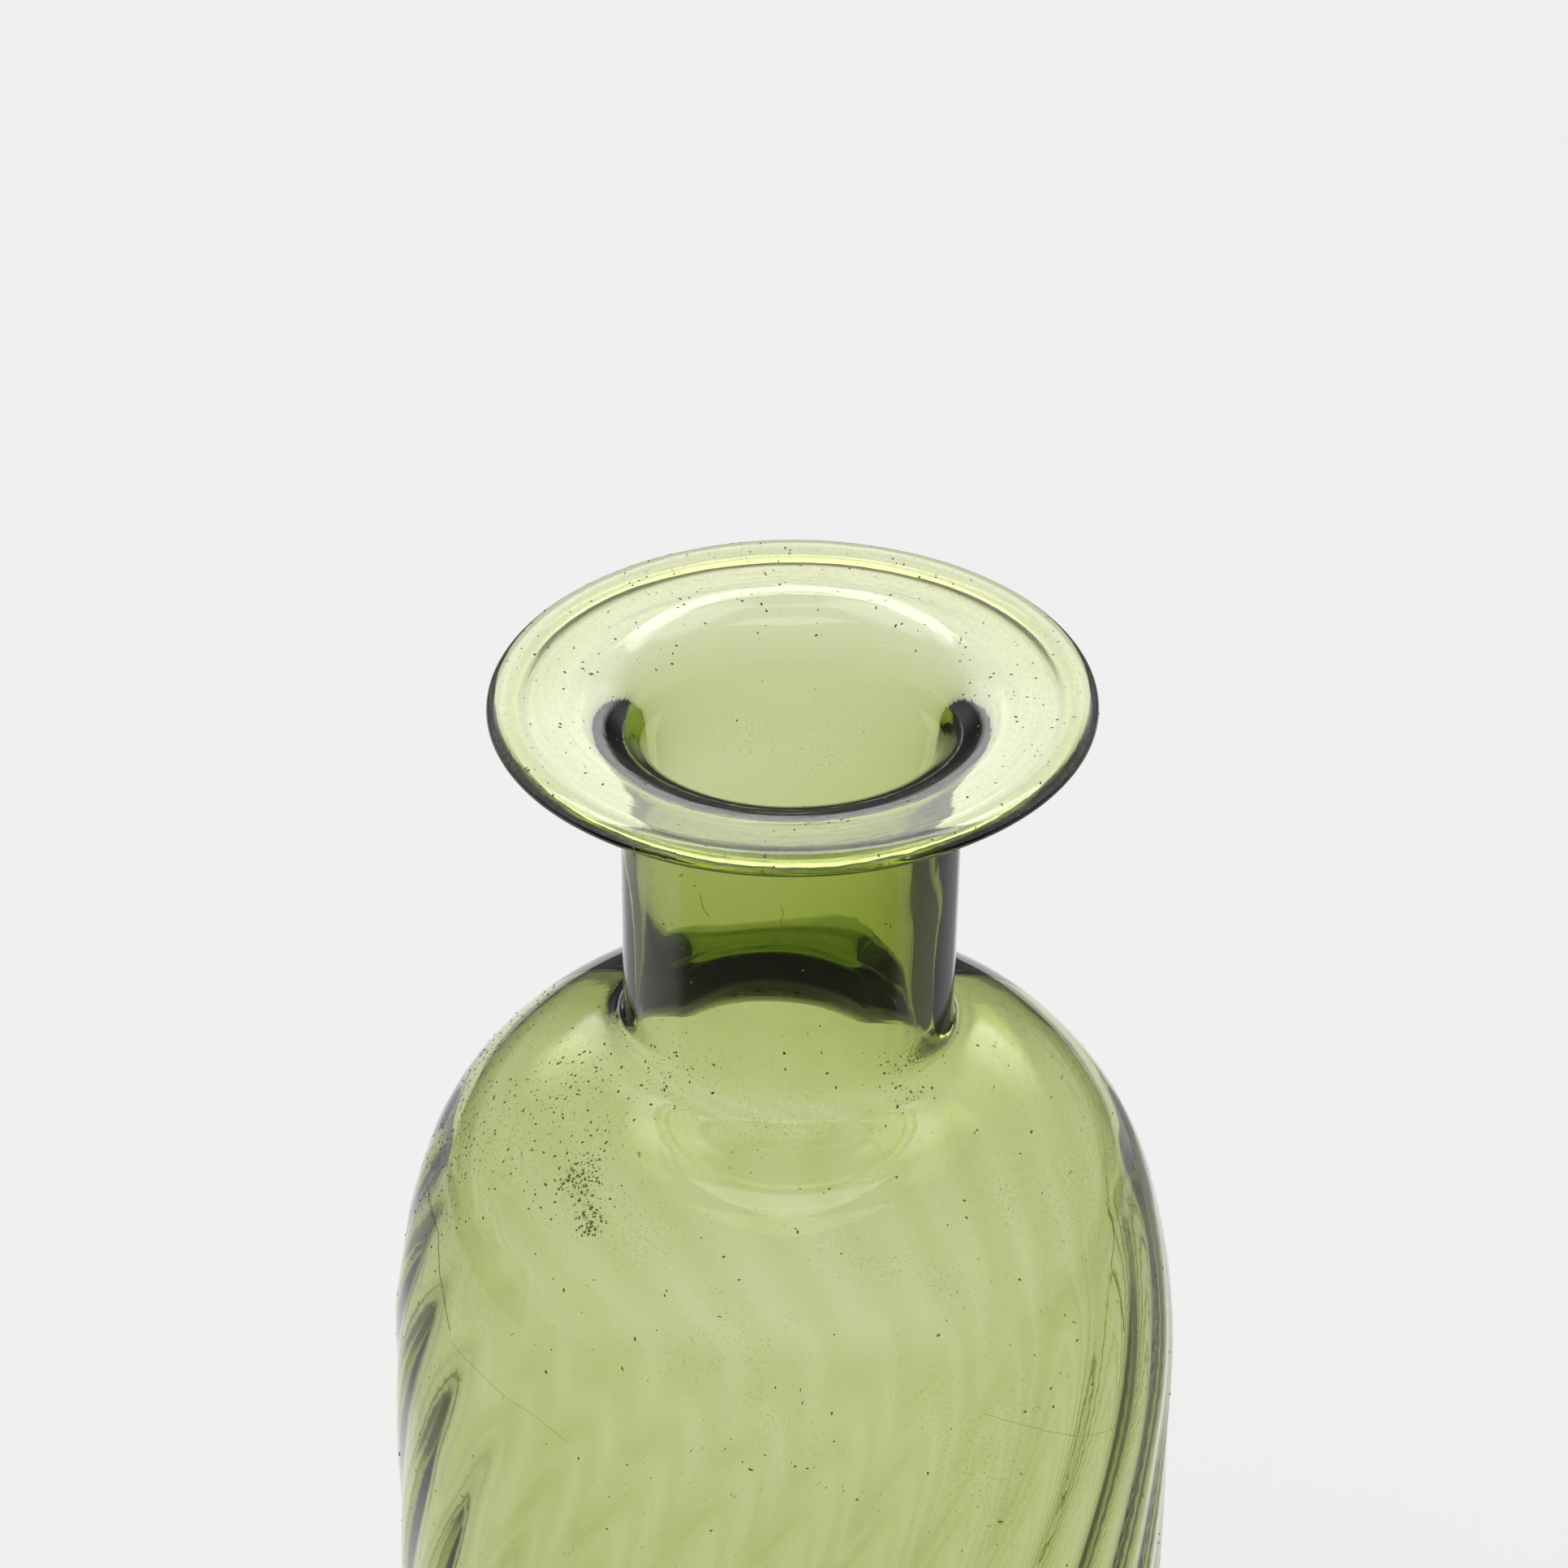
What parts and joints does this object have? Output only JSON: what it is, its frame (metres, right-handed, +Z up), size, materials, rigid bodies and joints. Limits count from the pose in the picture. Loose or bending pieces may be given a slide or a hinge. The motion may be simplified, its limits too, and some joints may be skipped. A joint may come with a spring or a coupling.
{
  "type": "glass flask",
  "caption": "Hand-blown green glass flask: round body with swirled ribs, short wide neck and a broad flat lip with a rounded edge; stands on a ring round a push-up.",
  "frame": {"origin": "the middle of the ring that the flask stands on, on the surface under it", "axes": "+Z up along the neck, X and Y across the body; the front of the picture faces -Y"},
  "size_m": [0.088, 0.088, 0.1899],
  "materials": {
    "green_glass": "fire-polished, clear olive green"
  },
  "bodies": {
    "root": {"vessel": "green_glass", "applied_lip": "green_glass", "pontil_scar": "green_glass"}
  },
  "joints": []
}
